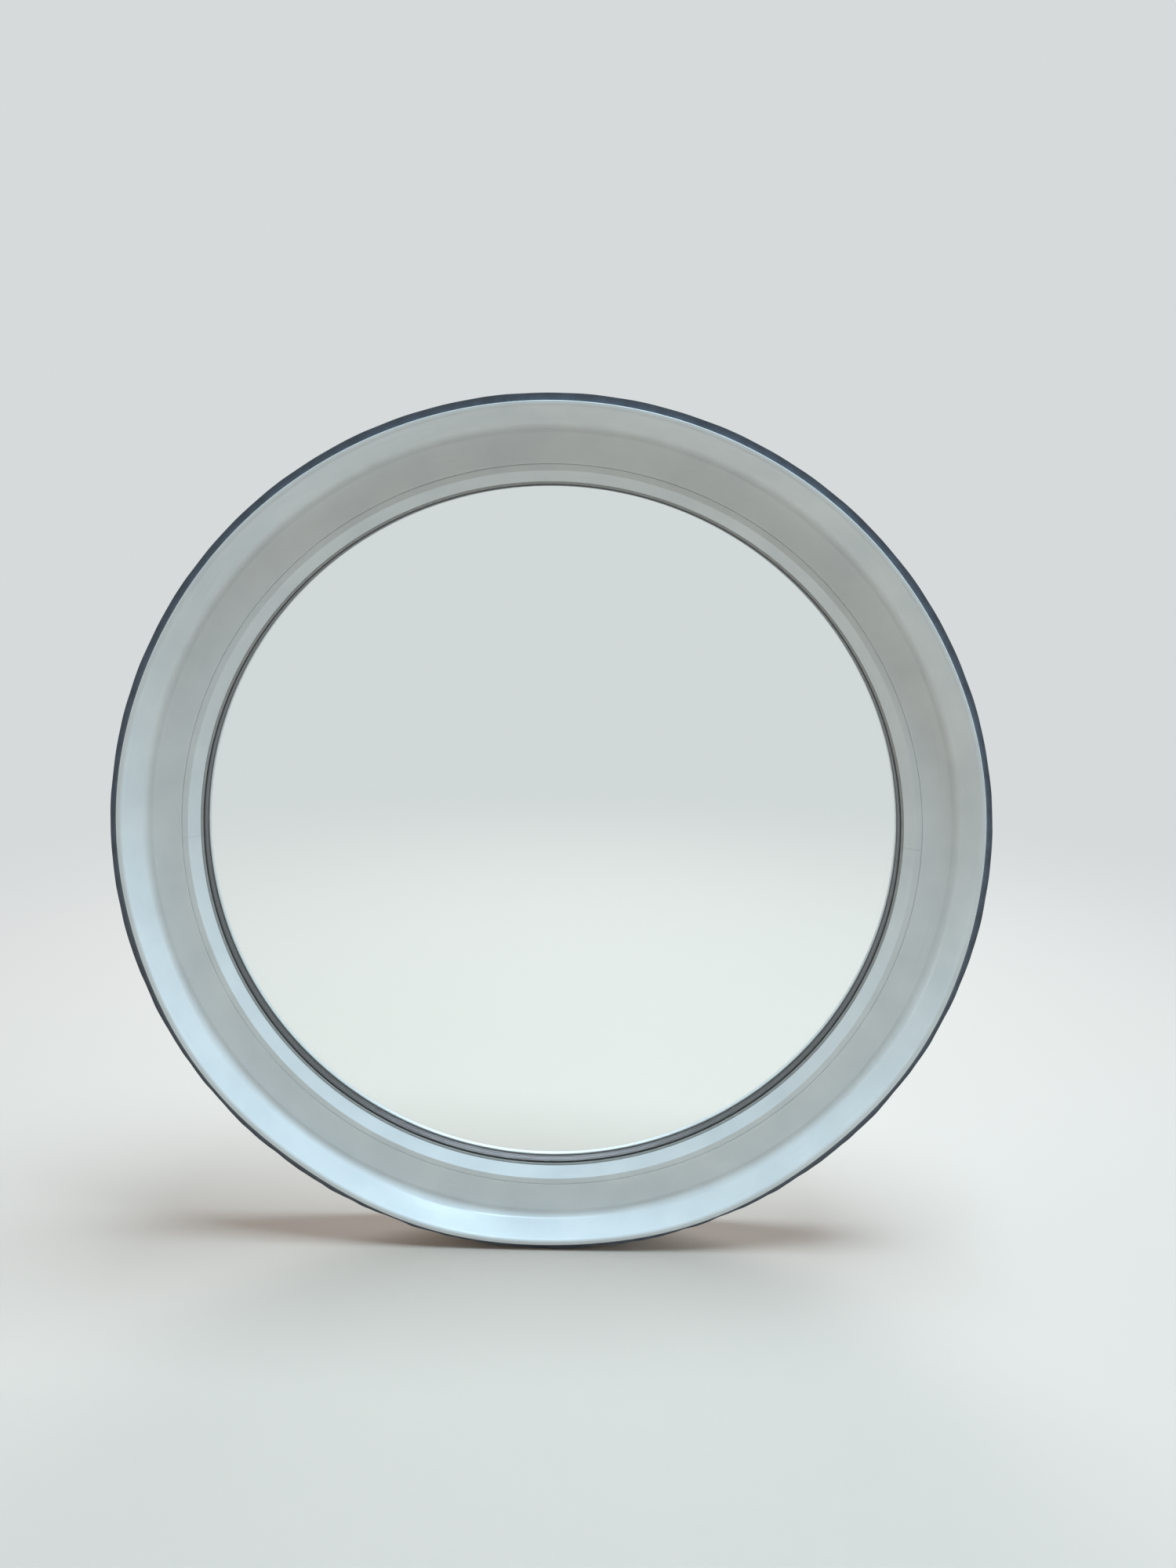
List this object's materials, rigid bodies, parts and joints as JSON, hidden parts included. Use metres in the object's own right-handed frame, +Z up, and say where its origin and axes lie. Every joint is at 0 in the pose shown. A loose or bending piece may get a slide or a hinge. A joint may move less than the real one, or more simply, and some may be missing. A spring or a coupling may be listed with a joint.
{
  "type": "round window",
  "caption": "Fixed round window: a white ring frame with a sloping inner band and a snapped-in bead holds a sealed double-glazed disc.",
  "frame": {"origin": "centre of the ring, halfway through the depth of the frame, on the axis of the perimeter", "axes": "+Y from the room to the outdoors along the ring's axis, +Z up, +X to the right as seen from the room"},
  "size_m": [1.1998, 0.102, 1.2],
  "materials": {
    "upvc": "smooth white uPVC, satin gloss",
    "grey_gasket": "soft grey co-extruded lip",
    "black_gasket": "matt black rubber",
    "glass": "clear float glass",
    "spacer": "dark warm-edge bar, matt",
    "desiccant": "drying beads",
    "edge_sealant": "dark elastic sealant",
    "blocks": "hard plastic",
    "sealant": "dark grey joint sealant"
  },
  "bodies": {
    "root": {"outer_frame": "upvc", "upper_bead": "upvc", "lower_bead": "upvc", "inner_gasket": "grey_gasket", "inner_pane": "glass", "spacer_bar": "spacer", "spacer_connector": "spacer", "desiccant": "desiccant", "outer_pane": "glass", "edge_seal": "edge_sealant", "outer_gasket": "black_gasket", "setting_blocks": "blocks", "location_blocks": "blocks", "block_bridges": "blocks", "perimeter_sealant": "sealant"}
  },
  "joints": []
}
